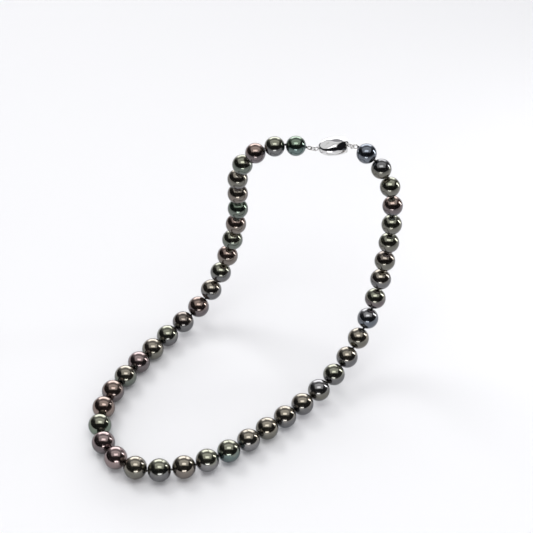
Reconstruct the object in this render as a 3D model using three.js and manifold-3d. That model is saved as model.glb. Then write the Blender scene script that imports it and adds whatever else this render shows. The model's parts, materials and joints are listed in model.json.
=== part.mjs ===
// A graduated strand of round pearls, hand-knotted on silk and closed by an olive clasp
// with a spring tongue. It lies as if draped over a low round stand: the clasp and the
// first pearls at the top, both sides hanging, and the front of the loop on the table.
//
// Millimetres, +Z up. The origin is the middle of the flat under the clasp; +X runs to
// the wearer's right-hand strand and -Y to the front of the loop.

import * as THREE from 'three';
import { mergeVertices } from 'three/addons/utils/BufferGeometryUtils.js';
import Module from 'manifold-3d';

// ---- Driving dimensions -------------------------------------------------------------

// Strand
const LEFT_PEARLS = 22;            // pearls from the clasp's fixed end to the front
const RIGHT_PEARLS = 24;           // pearls from the clasp's tongue to the front
const BACK_PEARL_DIAMETER = 8.6;   // beside the clasp
const FRONT_PEARL_DIAMETER = 10.0; // at the front centre
const GRADUATION = 1.3;            // how late the pearls grow towards the front
const KNOT_GAP = 0.45;             // between neighbouring pearls, filled by a knot
const BORE_DIAMETER = 1.1;         // drilled through each pearl
const BORE_MOUTH_DIAMETER = 1.8;   // countersunk rim of the bore
const BORE_MOUTH_DEPTH = 0.35;
const SILK_DIAMETER = 0.6;
const KNOT_DIAMETER = 1.1;

// Clasp body
const BODY_LENGTH = 11.8;
const BODY_WIDTH = 9.0;
const BODY_HEIGHT = 7.2;
const BODY_WALL = 0.8;
const MOUTH_WIDTH = 6.0;           // outside width of the squared open end
const MOUTH_HEIGHT = 5.0;
const TAIL_WIDTH = 2.6;            // outside width of the closed end
const BODY_FULLNESS = 0.7;         // 0.5 is an ellipse, 1 is a lens
const FLAT_DEPTH = 0.35;           // how much the underside is planed off
const CLASP_YAW = 13;              // degrees that the clasp lies turned in plan

// Spring tongue
const TONGUE_WIDTH = 3.0;
const TONGUE_THICKNESS = 0.5;
const TONGUE_REACH = 8.0;          // how far it goes into the body
const TONGUE_PLAY = 0.35;          // clearance of the tongue in the slot, each side
const LEAF_GAP = 0.9;              // between the plate and the leaf at the mouth
const NECK_LENGTH = 0.9;           // tongue outside the mouth, before its eye
const TAB_HEIGHT = 1.3;            // thumb tab on the leaf
const TAB_LENGTH = 0.6;

// Links
const LINK_WIRE = 0.5;             // wire diameter of the eyes and rings
const EYE_DIAMETER = 1.8;          // mean diameter of both eyes
const RING_DIAMETER = 2.0;         // mean diameter of the jump rings
const GIMP_WIRE = 0.56;            // coiled wire that guards the silk
const GIMP_WIDTH = 1.5;            // mean width of a guard loop
const LEFT_GIMP_LENGTH = 2.0;      // mean length of a guard loop
const RIGHT_GIMP_LENGTH = 4.3;
const LINK_CLEARANCE = 0.08;       // between wires that touch on the real piece

// Facets
const PEARL_SIDES = 12;
const PEARL_ARC_STEPS = 6;
const WIRE_SIDES = 6;
const LOOP_STEPS = 14;
const BODY_SIDES = 20;
const CORD_SIDES = 6;

// The strand's route when draped: from the last link beside the clasp's fixed end, through
// the pearls' centres, to the last link beside its tongue.
const ROUTE = [
  [-10.9, -1.3, 3.8],
  [-15, -0.1, 4.4], [-23.6, -1.7, 5], [-32.1, -2.1, 2.2], [-38.1, -1.2, -4.8], [-40.3, 0.1, -13.8],
  [-40, 2.3, -32.1], [-42.6, 3.3, -51.1], [-47.9, 2.2, -69.9], [-57.5, -4.1, -85.5],
  [-71.7, -17.2, -91.2], [-89.3, -42.6, -91.2], [-98.2, -61.2, -91.1], [-97.7, -81.9, -91],
  [-83.7, -96.8, -91], [-63, -96.6, -91], [-44.2, -87.7, -91.1], [-28.1, -74.9, -91.1],
  [-12.8, -61.5, -90.6], [1.4, -47.7, -86.7], [12.5, -33.3, -78.7], [19.9, -23.4, -63.8],
  [23.4, -19, -45.3], [25.8, -16.3, -26.7], [24.8, -13, -8.5], [20.9, -10.1, -0.6],
  [14.4, -6.7, 4.8], [10.7, -4.1, 6.3],
];

// Directions that the links lie in, away from the clasp.
const LEFT_LINK_LINE = new THREE.Vector3(-0.977, 0.163, 0.138).normalize();
const RIGHT_LINK_LINE = new THREE.Vector3(0.395, -0.735, 0.551).normalize();

// ---- Materials ----------------------------------------------------------------------

const material = (color, roughness, metalness) =>
  new THREE.MeshStandardMaterial({ color, roughness, metalness });

const silver = () => material(0xd6d6d4, 0.12, 1);
const gimpSilver = () => material(0xc4c3c0, 0.3, 1);
const silk = () => material(0x2b2a2c, 0.85, 0);
const BODY_TINTS = [0x3c4644, 0x4a4541, 0x383c44, 0x4c4f42, 0x4d4046, 0x3a4a44, 0x55524d];
const nacre = (index) => material(BODY_TINTS[index % BODY_TINTS.length], 0.2, 0.35);

// ---- Solids -------------------------------------------------------------------------

const wasm = await Module();
wasm.setup();

/** Turns a closed three.js geometry into a manifold solid. */
function solidOf(geometry) {
  const bare = geometry.clone();
  bare.deleteAttribute('normal');
  bare.deleteAttribute('uv');
  const merged = mergeVertices(bare, 1e-5);
  return new wasm.Manifold(new wasm.Mesh({
    numProp: 3,
    vertProperties: new Float32Array(merged.attributes.position.array),
    triVerts: new Uint32Array(merged.index.array),
  }));
}

/** Turns a manifold solid back into a three.js geometry. */
function geometryOf(solid) {
  const mesh = solid.getMesh();
  const geometry = new THREE.BufferGeometry();
  geometry.setAttribute('position', new THREE.Float32BufferAttribute(mesh.vertProperties, 3));
  geometry.setIndex(new THREE.Uint32BufferAttribute(mesh.triVerts, 1));
  return geometry;
}

/** A closed skin over rings of points that share one count, capped at both ends. */
function skinned(rings) {
  const count = rings[0].length;
  const positions = rings.flat().flatMap((point) => point.toArray());
  const faces = [];
  for (let ring = 0; ring < rings.length - 1; ring += 1) {
    for (let side = 0; side < count; side += 1) {
      const next = (side + 1) % count;
      const [a, b] = [ring * count + side, ring * count + next];
      faces.push(a, b, b + count, a, b + count, a + count);
    }
  }
  for (let side = 1; side < count - 1; side += 1) {
    const last = (rings.length - 1) * count;
    faces.push(0, side + 1, side, last, last + side, last + side + 1);
  }
  const geometry = new THREE.BufferGeometry();
  geometry.setAttribute('position', new THREE.Float32BufferAttribute(positions, 3));
  geometry.setIndex(faces);
  return geometry;
}

/** A box between two corners. */
function boxBetween(low, high) {
  const size = high.clone().sub(low);
  const centre = low.clone().add(high).multiplyScalar(0.5);
  return new THREE.BoxGeometry(size.x, size.y, size.z).translate(centre.x, centre.y, centre.z);
}

function named(name, geometry, finish) {
  const mesh = new THREE.Mesh(geometry, finish);
  mesh.name = name;
  return mesh;
}

// ---- Clasp body ---------------------------------------------------------------------

const HALF_LENGTH = BODY_LENGTH / 2;
const AXIS_HEIGHT = BODY_HEIGHT / 2 - FLAT_DEPTH;   // of the clasp's axis over the flat

/**
 * Half extent of the olive along its length: it swells from the tail to the middle and
 * narrows again to the squared mouth. along runs from -1 at the tail to 1 at the mouth.
 */
function swell(along, tail, middle, mouth) {
  const end = along < 0 ? tail : mouth;
  const fall = (1 - Math.min(1, along * along)) ** BODY_FULLNESS;
  return end + (middle - end) * fall;
}

/** One cross-section of the olive, inset by a wall; it squares up towards the mouth. */
function bodySection(along, inset) {
  const halfWidth = swell(along, TAIL_WIDTH / 2, BODY_WIDTH / 2, MOUTH_WIDTH / 2) - inset;
  const halfHeight = swell(along, TAIL_WIDTH / 2, BODY_HEIGHT / 2, MOUTH_HEIGHT / 2) - inset;
  const squareness = along > 0 ? 1 - 0.4 * along : 1;
  const points = [];
  for (let side = 0; side < BODY_SIDES; side += 1) {
    const angle = (2 * Math.PI * side) / BODY_SIDES;
    const [cosine, sine] = [Math.cos(angle), Math.sin(angle)];
    points.push(new THREE.Vector3(
      along * (HALF_LENGTH - inset),
      halfWidth * Math.sign(cosine) * Math.abs(cosine) ** squareness,
      AXIS_HEIGHT + halfHeight * Math.sign(sine) * Math.abs(sine) ** squareness,
    ));
  }
  return points;
}

const SLOT_HALF_WIDTH = TONGUE_WIDTH / 2 + TONGUE_PLAY;
const TONGUE_HEIGHT = 2 * TONGUE_THICKNESS + LEAF_GAP;   // folded tongue at the mouth
const SLOT_HALF_HEIGHT = TONGUE_HEIGHT / 2 + TONGUE_PLAY / 2;

function claspBody() {
  const stations = [-1, -0.97, -0.88, -0.7, -0.45, -0.15, 0.15, 0.45, 0.7, 0.88, 0.97, 1];
  const outside = solidOf(skinned(stations.map((along) => bodySection(along, 0))));
  const inside = solidOf(skinned(stations.map((along) => bodySection(along, BODY_WALL))));
  const far = 2 * BODY_LENGTH;
  const underside = solidOf(boxBetween(
    new THREE.Vector3(-far, -far, -far), new THREE.Vector3(far, far, 0)));
  const slot = solidOf(boxBetween(
    new THREE.Vector3(0, -SLOT_HALF_WIDTH, AXIS_HEIGHT - SLOT_HALF_HEIGHT),
    new THREE.Vector3(far, SLOT_HALF_WIDTH, AXIS_HEIGHT + SLOT_HALF_HEIGHT)));
  const floorLimit = solidOf(boxBetween(
    new THREE.Vector3(-far, -far, BODY_WALL), new THREE.Vector3(far, far, far)));
  const cavity = inside.intersect(floorLimit);
  const shell = outside.subtract(underside).subtract(cavity).subtract(slot);
  return named('clasp_body', geometryOf(shell), silver());
}

// ---- Spring tongue ------------------------------------------------------------------

const PLATE_TOP = AXIS_HEIGHT - TONGUE_HEIGHT / 2 + TONGUE_THICKNESS;
const LEAF_BOTTOM = PLATE_TOP + LEAF_GAP;
const FOLD_X = HALF_LENGTH - TONGUE_REACH;
const FOLD_CLEARANCE = 0.1;

/** The tongue's lower strip, with the neck and the eye outside the mouth. */
function tonguePlate() {
  const half = TONGUE_WIDTH / 2;
  const neckEnd = HALF_LENGTH + NECK_LENGTH;
  const bottom = PLATE_TOP - TONGUE_THICKNESS;
  const strip = solidOf(boxBetween(
    new THREE.Vector3(FOLD_X, -half, bottom), new THREE.Vector3(neckEnd, half, PLATE_TOP)));
  const eye = solidOf(ringGeometry(EYE_DIAMETER, EYE_DIAMETER, LINK_WIRE)
    .rotateX(Math.PI / 2)
    .translate(tongueEyeX(), 0, PLATE_TOP - TONGUE_THICKNESS / 2));
  return named('tongue_plate', geometryOf(strip.add(eye)), silver());
}

/** Where the tongue's eye is centred along the clasp's axis. */
function tongueEyeX() {
  return HALF_LENGTH + NECK_LENGTH + EYE_DIAMETER / 2;
}

/** The tongue's upper leaf: it rises from the fold to the mouth and ends in a thumb tab. */
function tongueLeaf() {
  const half = TONGUE_WIDTH / 2;
  const foldBottom = PLATE_TOP + FOLD_CLEARANCE;
  const tabStart = HALF_LENGTH + TONGUE_PLAY;
  const tabEnd = tabStart + TAB_LENGTH;
  const outline = new THREE.Shape([
    new THREE.Vector2(FOLD_X, foldBottom),
    new THREE.Vector2(HALF_LENGTH - BODY_WALL, LEAF_BOTTOM),
    new THREE.Vector2(tabEnd, LEAF_BOTTOM),
    new THREE.Vector2(tabEnd, LEAF_BOTTOM + TAB_HEIGHT),
    new THREE.Vector2(tabStart, LEAF_BOTTOM + TAB_HEIGHT),
    new THREE.Vector2(tabStart, LEAF_BOTTOM + TONGUE_THICKNESS),
    new THREE.Vector2(HALF_LENGTH - BODY_WALL, LEAF_BOTTOM + TONGUE_THICKNESS),
    new THREE.Vector2(FOLD_X, foldBottom + TONGUE_THICKNESS),
  ]);
  const leaf = new THREE.ExtrudeGeometry(outline, { depth: TONGUE_WIDTH, bevelEnabled: false })
    .translate(0, 0, -half)
    .rotateX(Math.PI / 2);
  return named('tongue_leaf', leaf, silver());
}

// ---- Rings and guard loops ----------------------------------------------------------

/** A closed wire loop in the XZ plane, long along X: two half rounds and two straights. */
function ringGeometry(length, width, wire) {
  const radius = width / 2;
  const straight = length / 2 - radius;
  const rings = [];
  for (let step = 0; step < LOOP_STEPS; step += 1) {
    const angle = (2 * Math.PI * (step + 0.5)) / LOOP_STEPS;
    const out = new THREE.Vector3(Math.cos(angle), 0, Math.sin(angle));
    const centre = out.clone().multiplyScalar(radius);
    centre.x += straight * Math.sign(out.x);
    rings.push(wireSection(centre, out, wire / 2));
  }
  return closedLoop(rings);
}

/** A round wire's section around a point, in the plane of Y and a given direction. */
function wireSection(centre, out, radius) {
  const points = [];
  for (let side = 0; side < WIRE_SIDES; side += 1) {
    const angle = (2 * Math.PI * side) / WIRE_SIDES;
    points.push(centre.clone()
      .addScaledVector(out, radius * Math.cos(angle))
      .add(new THREE.Vector3(0, radius * Math.sin(angle), 0)));
  }
  return points;
}

/** A closed skin over rings of points that come round to the first one. */
function closedLoop(rings) {
  const count = rings[0].length;
  const faces = [];
  rings.forEach((_, ring) => {
    const following = (ring + 1) % rings.length;
    for (let side = 0; side < count; side += 1) {
      const next = (side + 1) % count;
      const [a, b] = [ring * count + side, ring * count + next];
      const [c, d] = [following * count + next, following * count + side];
      faces.push(a, b, c, a, c, d);
    }
  });
  const geometry = new THREE.BufferGeometry();
  const positions = rings.flat().flatMap((point) => point.toArray());
  geometry.setAttribute('position', new THREE.Float32BufferAttribute(positions, 3));
  geometry.setIndex(faces);
  return geometry;
}

/** The point of an eye's wire that a line of links leaves from; the eye's normal is given. */
function eyeRim(centre, normal, direction) {
  const towards = direction.clone().projectOnPlane(normal).normalize();
  return centre.clone().addScaledVector(towards, EYE_DIAMETER / 2);
}

/**
 * Places loops one through the next along a line from an eye's rim. Each loop has a length,
 * width, wire and whether it lies flat (in the plane of the line and the level) or stands upright.
 * Returns the meshes and the point that the last loop reaches.
 */
function chainOfLoops(rim, direction, loops) {
  const level = new THREE.Vector3(-direction.y, direction.x, 0).normalize();
  const upright = new THREE.Vector3().crossVectors(direction, level);
  const meshes = [];
  let reached = rim.clone();
  let wireBefore = LINK_WIRE;
  for (const loop of loops) {
    const hook = (wireBefore + loop.wire) / 2 + LINK_CLEARANCE;
    const centre = reached.clone().addScaledVector(direction, loop.length / 2 - hook);
    const across = loop.flat ? upright : level;
    const third = new THREE.Vector3().crossVectors(direction, across);
    const turn = new THREE.Matrix4().makeBasis(direction, across, third);
    const mesh = named(loop.name, ringGeometry(loop.length, loop.width, loop.wire), loop.finish);
    mesh.quaternion.setFromRotationMatrix(turn);
    mesh.position.copy(centre);
    meshes.push(mesh);
    reached = centre.clone().addScaledVector(direction, loop.length / 2);
    wireBefore = loop.wire;
  }
  const end = reached.addScaledVector(direction, wireBefore / 2 + LINK_CLEARANCE);
  return { meshes, end };
}

const yaw = THREE.MathUtils.degToRad(CLASP_YAW);
const inClasp = (x, y, z) => new THREE.Vector3(x, y, z)
  .applyAxisAngle(new THREE.Vector3(0, 0, 1), yaw);

/** The eye on the clasp's closed end. */
function tailEye() {
  const eye = named('tail_eye', ringGeometry(EYE_DIAMETER, EYE_DIAMETER, LINK_WIRE), silver());
  eye.position.set(tailEyeX(), 0, AXIS_HEIGHT);
  return eye;
}

/** Where the tail eye is centred along the clasp's axis. */
function tailEyeX() {
  return -HALF_LENGTH - LINK_CLEARANCE - (EYE_DIAMETER + LINK_WIRE) / 2;
}

const jumpRing = (name, flat) => ({
  name, flat, length: RING_DIAMETER, width: RING_DIAMETER, wire: LINK_WIRE, finish: silver(),
});
const gimpLoop = (name, flat, length) => ({
  name, flat, length, width: GIMP_WIDTH, wire: GIMP_WIRE, finish: gimpSilver(),
});

const leftRim = eyeRim(inClasp(tailEyeX(), 0, AXIS_HEIGHT), inClasp(0, 1, 0), LEFT_LINK_LINE);
const leftChain = chainOfLoops(leftRim, LEFT_LINK_LINE, [
  jumpRing('left_jump_ring', true), gimpLoop('left_gimp', false, LEFT_GIMP_LENGTH)]);

const tongueEye = inClasp(tongueEyeX(), 0, PLATE_TOP - TONGUE_THICKNESS / 2);
const rightRim = eyeRim(tongueEye, inClasp(0, 0, 1), RIGHT_LINK_LINE);
const rightChain = chainOfLoops(rightRim, RIGHT_LINK_LINE, [
  jumpRing('right_jump_ring_1', false), jumpRing('right_jump_ring_2', true),
  gimpLoop('right_gimp', false, RIGHT_GIMP_LENGTH)]);

// ---- Strand -------------------------------------------------------------------------

const PEARLS = LEFT_PEARLS + RIGHT_PEARLS;

/** Diameter of a pearl by its place, 0 beside the clasp's fixed end. */
function pearlDiameter(place) {
  const share = Math.sin((Math.PI * (place + 0.5)) / PEARLS) ** GRADUATION;
  return BACK_PEARL_DIAMETER + (FRONT_PEARL_DIAMETER - BACK_PEARL_DIAMETER) * share;
}

/**
 * The draped route, carried along with the links at both of its ends and with its middle
 * opened out by a factor.
 */
function drapedRoute(start, end, factor) {
  const drawn = ROUTE.map((triple) => new THREE.Vector3(...triple));
  const last = drawn.length - 1;
  const startShift = start.clone().sub(drawn[0]);
  const endShift = end.clone().sub(drawn[last]);
  const carried = drawn.map((point, place) =>
    point.clone().add(startShift.clone().lerp(endShift, place / last)));
  const middle = start.clone().add(end).multiplyScalar(0.5);
  const opened = carried.slice(1, last).map((point) =>
    point.sub(middle).multiplyScalar(factor).add(middle));
  return new THREE.CatmullRomCurve3([start, ...opened, end], false, 'centripetal');
}

const ROUTE_SAMPLES = 4000;

/** Knots laid along a curve, one pearl and one gap apart; also how far past the end. */
function knotsAlong(curve) {
  const points = curve.getPoints(ROUTE_SAMPLES);
  const knots = [points[0].clone()];
  let sample = 0;
  for (let place = 0; place < PEARLS; place += 1) {
    const chord = pearlDiameter(place) + KNOT_GAP;
    const from = knots[knots.length - 1];
    while (sample < points.length - 1 && points[sample].distanceTo(from) < chord) sample += 1;
    const inner = points[sample - 1];
    const step = points[sample].clone().sub(inner);
    const spare = chord - inner.distanceTo(from);
    knots.push(inner.clone().addScaledVector(step.normalize(), spare));
  }
  const last = knots[knots.length - 1];
  const past = sample >= points.length - 1
    ? last.distanceTo(points[points.length - 1])
    : -last.distanceTo(points[points.length - 1]);
  return { knots, past };
}

/** Opens the route out until the whole strand just reaches from one end to the other. */
function fittedKnots(start, end) {
  let [low, high] = [0.5, 2];
  for (let round = 0; round < 40; round += 1) {
    const factor = (low + high) / 2;
    if (knotsAlong(drapedRoute(start, end, factor)).past > 0) low = factor;
    else high = factor;
  }
  return knotsAlong(drapedRoute(start, end, high)).knots;
}

const knots = fittedKnots(leftChain.end, rightChain.end);

/** A drilled pearl about its own Z axis, its bore countersunk at both mouths. */
function pearlGeometry(diameter) {
  const radius = diameter / 2;
  const bore = BORE_DIAMETER / 2;
  const mouth = BORE_MOUTH_DIAMETER / 2;
  const open = Math.asin(mouth / radius);
  const throat = radius * Math.cos(open) - BORE_MOUTH_DEPTH;
  const profile = [new THREE.Vector2(bore, -throat)];
  for (let step = 0; step <= PEARL_ARC_STEPS; step += 1) {
    const angle = Math.PI - open - (step / PEARL_ARC_STEPS) * (Math.PI - 2 * open);
    profile.push(new THREE.Vector2(radius * Math.sin(angle), radius * Math.cos(angle)));
  }
  profile.push(new THREE.Vector2(bore, throat), profile[0].clone());
  return new THREE.LatheGeometry(profile, PEARL_SIDES).rotateX(Math.PI / 2);
}

/** Name of a pearl: left ones count from the clasp's fixed end, right ones from its tongue. */
function pearlName(place) {
  const left = place < LEFT_PEARLS;
  const count = left ? place + 1 : PEARLS - place;
  return `pearl_${left ? 'left' : 'right'}_${String(count).padStart(2, '0')}`;
}

function pearl(place) {
  const [from, to] = [knots[place], knots[place + 1]];
  const mesh = named(pearlName(place), pearlGeometry(pearlDiameter(place)), nacre(place));
  const along = to.clone().sub(from).normalize();
  mesh.quaternion.setFromUnitVectors(new THREE.Vector3(0, 0, 1), along);
  mesh.position.copy(from).add(to).multiplyScalar(0.5);
  return mesh;
}

const SILK_END_INSET = 1.2;        // a run of silk ends this far inside its last pearls
const KNOT_THICKNESS = 0.24;

/** A run of silk through neighbouring pearls, with a knot in each gap between them. */
function silkRun(name, firstPlace, lastPlace) {
  const stops = [];
  for (let place = firstPlace; place <= lastPlace; place += 1) {
    const [from, to] = [knots[place], knots[place + 1]];
    const along = to.clone().sub(from).normalize();
    const first = place === firstPlace ? SILK_END_INSET : KNOT_THICKNESS / 2;
    const last = place === lastPlace ? SILK_END_INSET : KNOT_THICKNESS / 2;
    stops.push({ at: from.clone().addScaledVector(along, first), along, radius: SILK_DIAMETER / 2 });
    stops.push({ at: to.clone().addScaledVector(along, -last), along, radius: SILK_DIAMETER / 2 });
    if (place < lastPlace) {
      const after = knots[place + 2].clone().sub(to).normalize();
      const mean = along.clone().add(after).normalize();
      stops.push({ at: to.clone(), along: mean, radius: KNOT_DIAMETER / 2 });
    }
  }
  return named(name, skinned(stops.map(cordSection)), silk());
}

/** A round section of a cord, square to its run. */
function cordSection({ at, along, radius }) {
  const turn = new THREE.Quaternion().setFromUnitVectors(new THREE.Vector3(0, 0, 1), along);
  const points = [];
  for (let side = 0; side < CORD_SIDES; side += 1) {
    const angle = (2 * Math.PI * side) / CORD_SIDES;
    points.push(new THREE.Vector3(radius * Math.cos(angle), radius * Math.sin(angle), 0)
      .applyQuaternion(turn).add(at));
  }
  return points;
}

// Places in the strand where one run of silk hands over to the next part of the loop.
const TOP_LEFT_LAST = 3;           // fourth left pearl, at the edge of the stand
const DROP_LAST = 11;              // twelfth left pearl, where the fall meets the table
const ARM_FIRST = PEARLS - 11;     // eleventh right pearl
const ARM_LAST = PEARLS - 3;       // third right pearl, at the edge of the stand

// ---- Assembly -----------------------------------------------------------------------

const necklace = new THREE.Group();

const clasp = new THREE.Group();
clasp.rotation.z = yaw;
clasp.add(claspBody(), tailEye(), tonguePlate(), tongueLeaf());
necklace.add(clasp, ...leftChain.meshes, ...rightChain.meshes);

for (let place = 0; place < PEARLS; place += 1) necklace.add(pearl(place));

necklace.add(
  silkRun('silk_top_left', 0, TOP_LEFT_LAST),
  silkRun('silk_left_drop', TOP_LEFT_LAST + 1, DROP_LAST),
  silkRun('silk_right_arm', ARM_FIRST, ARM_LAST),
  silkRun('silk_right_edge', ARM_LAST + 1, PEARLS - 1),
);

export default necklace;
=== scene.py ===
"""A graduated strand of dark round pearls, knotted on silk and closed by a silver olive clasp.

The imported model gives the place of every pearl, link and clasp piece. Each of them is built
here again at full detail, in metres, and dressed in its own finish: nacre, polished silver,
coiled silver wire or twisted silk.
"""

import json
import logging
import math
import random
from collections.abc import Callable, Sequence
from dataclasses import dataclass, field
from enum import Enum

import bmesh
import bpy
import numpy as np
from mathutils import Matrix, Vector

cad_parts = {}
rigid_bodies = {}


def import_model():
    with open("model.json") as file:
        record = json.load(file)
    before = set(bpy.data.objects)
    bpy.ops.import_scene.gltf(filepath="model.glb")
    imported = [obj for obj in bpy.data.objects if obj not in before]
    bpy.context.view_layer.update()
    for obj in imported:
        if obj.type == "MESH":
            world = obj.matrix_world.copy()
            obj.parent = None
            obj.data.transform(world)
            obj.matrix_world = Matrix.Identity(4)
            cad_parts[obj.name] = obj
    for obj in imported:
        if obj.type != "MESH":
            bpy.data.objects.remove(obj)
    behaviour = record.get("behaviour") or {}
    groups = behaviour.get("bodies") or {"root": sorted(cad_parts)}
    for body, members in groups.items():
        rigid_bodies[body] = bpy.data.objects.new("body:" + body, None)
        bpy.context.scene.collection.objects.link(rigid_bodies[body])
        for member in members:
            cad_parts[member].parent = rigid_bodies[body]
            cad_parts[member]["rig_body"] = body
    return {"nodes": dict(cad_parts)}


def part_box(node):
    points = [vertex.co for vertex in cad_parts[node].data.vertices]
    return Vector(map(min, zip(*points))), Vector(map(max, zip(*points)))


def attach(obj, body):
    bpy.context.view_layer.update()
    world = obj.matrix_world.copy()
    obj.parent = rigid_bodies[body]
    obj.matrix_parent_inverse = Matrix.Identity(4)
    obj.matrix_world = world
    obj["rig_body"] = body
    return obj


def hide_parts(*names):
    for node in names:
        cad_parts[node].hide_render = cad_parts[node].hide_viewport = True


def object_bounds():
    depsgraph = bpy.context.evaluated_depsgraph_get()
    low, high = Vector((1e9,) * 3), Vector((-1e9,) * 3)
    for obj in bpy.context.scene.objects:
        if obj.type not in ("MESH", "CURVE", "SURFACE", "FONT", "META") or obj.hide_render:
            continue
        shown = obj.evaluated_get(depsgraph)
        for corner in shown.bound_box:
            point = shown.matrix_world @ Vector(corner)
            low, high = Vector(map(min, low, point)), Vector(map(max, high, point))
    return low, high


logging.basicConfig(level=logging.INFO, format="%(message)s")
log = logging.getLogger("necklace")

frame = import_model()
CAD_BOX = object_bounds()

MM = 0.001
SEED = 46
X, Y, UP = Vector((1, 0, 0)), Vector((0, 1, 0)), Vector((0, 0, 1))
BORE_RIM = 0.9 * MM      # radius of the countersunk rim of a pearl's bore

Colour = tuple[float, float, float]
Ring = list[Vector]


# ---- Colours --------------------------------------------------------------------------


class Tone(Enum):
    """Colours that the nacre shows, as display values from 0 to 255."""

    TEAL = (93, 117, 114)
    PEACOCK = (112, 130, 110)
    LIME = (137, 138, 119)
    GREEN = (101, 111, 99)
    OLIVE = (112, 110, 98)
    AUBERGINE = (106, 94, 96)
    BRONZE = (124, 113, 103)
    COPPER = (146, 125, 114)
    ROSE = (148, 128, 126)
    MAUVE = (121, 111, 116)
    STEEL = (104, 112, 123)
    GREY = (108, 108, 109)
    SILVER = (134, 133, 134)
    LILAC = (119, 116, 127)
    CREAM = (146, 138, 123)
    CORE = (148, 136, 120)

    @property
    def linear(self) -> Colour:
        """The tone as scene-linear red, green and blue."""
        return linear(self.value)


def linear(shown: Sequence[float]) -> Colour:
    """Turns display values into scene-linear ones.

    Args:
        shown: Red, green and blue from 0 to 255.

    Returns:
        Red, green and blue from 0 to 1.
    """
    shares = [part / 255 for part in shown]
    return tuple(s / 12.92 if s <= 0.04045 else ((s + 0.055) / 1.055) ** 2.4 for s in shares)


# ---- Shader expressions ---------------------------------------------------------------


class Signal:
    """An output socket that takes part in Python arithmetic; each operator adds a Math node."""

    def __init__(self, graph: "Graph", socket: bpy.types.NodeSocket) -> None:
        """Wraps a socket of a graph."""
        self.graph, self.socket = graph, socket

    def math(self, operation: str, *others: "Signal | float") -> "Signal":
        """Adds a Math node whose first value is this signal."""
        return self.graph.math(operation, self, *others)

    def output(self, name: str) -> "Signal":
        """Another output of the same node."""
        return Signal(self.graph, self.socket.node.outputs[name])

    def __add__(self, other: "Signal | float") -> "Signal":
        """This signal plus another."""
        return self.math("ADD", other)

    def __sub__(self, other: "Signal | float") -> "Signal":
        """This signal less another."""
        return self.math("SUBTRACT", other)

    def __rsub__(self, other: float) -> "Signal":
        """A number less this signal."""
        return self.graph.math("SUBTRACT", other, self)

    def __mul__(self, other: "Signal | float") -> "Signal":
        """This signal times another."""
        return self.math("MULTIPLY", other)

    __radd__ = __add__
    __rmul__ = __mul__

    def between(self, low: float, high: float) -> "Signal":
        """Rises smoothly from 0 to 1 while this signal goes from low to high."""
        return self.graph.node("ShaderNodeMapRange", {"interpolation_type": "SMOOTHSTEP"},
                               {"Value": self, "From Min": low, "From Max": high})


class Graph:
    """The nodes of one material or world."""

    def __init__(self, tree: bpy.types.NodeTree) -> None:
        """Empties a node tree and takes it over."""
        tree.nodes.clear()
        self.tree = tree

    def node(self, kind: str, settings: dict | None = None, values: dict | None = None) -> Signal:
        """Adds a node.

        Args:
            kind: The node's type.
            settings: Its properties, which are set first.
            values: What goes into its sockets, by name or number: signals or plain values.

        Returns:
            The node's first output that is in use.
        """
        made = self.tree.nodes.new(kind)
        for name, setting in (settings or {}).items():
            setattr(made, name, setting)
        for key, value in (values or {}).items():
            if isinstance(value, Signal):
                self.tree.links.new(value.socket, made.inputs[key])
            elif isinstance(value, tuple) and made.inputs[key].type == "RGBA":
                made.inputs[key].default_value = (*value, 1)
            else:
                made.inputs[key].default_value = value
        usable = [socket for socket in made.outputs if socket.enabled]
        return Signal(self, usable[0]) if usable else None

    def math(self, operation: str, *values: Signal | float) -> Signal:
        """Adds a Math node."""
        return self.node("ShaderNodeMath", {"operation": operation}, dict(enumerate(values)))

    def vector(self, operation: str, *values: Signal | Vector | tuple) -> Signal:
        """Adds a Vector Math node on two vectors."""
        return self.node("ShaderNodeVectorMath", {"operation": operation}, dict(enumerate(values)))

    def scaled(self, vector: Signal, factor: float) -> Signal:
        """A vector times a number."""
        return self.node("ShaderNodeVectorMath", {"operation": "SCALE"}, {0: vector, "Scale": factor})

    def blend(self, below: Signal | Colour, above: Signal | Colour, share: Signal | float,
              kind: str = "MIX") -> Signal:
        """Mixes two colours.

        Args:
            below: The colour at share 0.
            above: The colour at share 1.
            share: How much of the second colour shows.
            kind: The way that the second colour is laid on the first.

        Returns:
            The mixed colour.
        """
        return self.node("ShaderNodeMix", {"data_type": "RGBA", "blend_type": kind},
                         {0: share, 6: below, 7: above})

    def noise(self, place: Signal, scale: float, detail: float = 2.0) -> Signal:
        """Cloudy noise from 0 to 1 at a place."""
        return self.node("ShaderNodeTexNoise", {},
                         {"Vector": place, "Scale": scale, "Detail": detail})

    def bumps(self, *layers: tuple[Signal, float]) -> Signal:
        """Stacks bump nodes.

        Args:
            *layers: Heights from 0 to 1 with the depth of each in metres.

        Returns:
            The bumped normal.
        """
        values = {"Strength": 1.0}
        for height, depth in layers:
            values |= {"Height": height, "Distance": depth}
            values["Normal"] = normal = self.node("ShaderNodeBump", {}, values)
        return normal


def finished(name: str, paint: Callable[[Graph], dict]) -> bpy.types.Material:
    """Makes a material around one Principled surface.

    Args:
        name: The material's name.
        paint: Adds the nodes and returns what goes into the surface's sockets.

    Returns:
        The material.
    """
    material = bpy.data.materials.new(name)
    material.use_nodes = True
    graph = Graph(material.node_tree)
    surface = graph.node("ShaderNodeBsdfPrincipled", {}, paint(graph))
    graph.node("ShaderNodeOutputMaterial", {}, {"Surface": surface})
    return material


# ---- Finishes -------------------------------------------------------------------------


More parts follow.
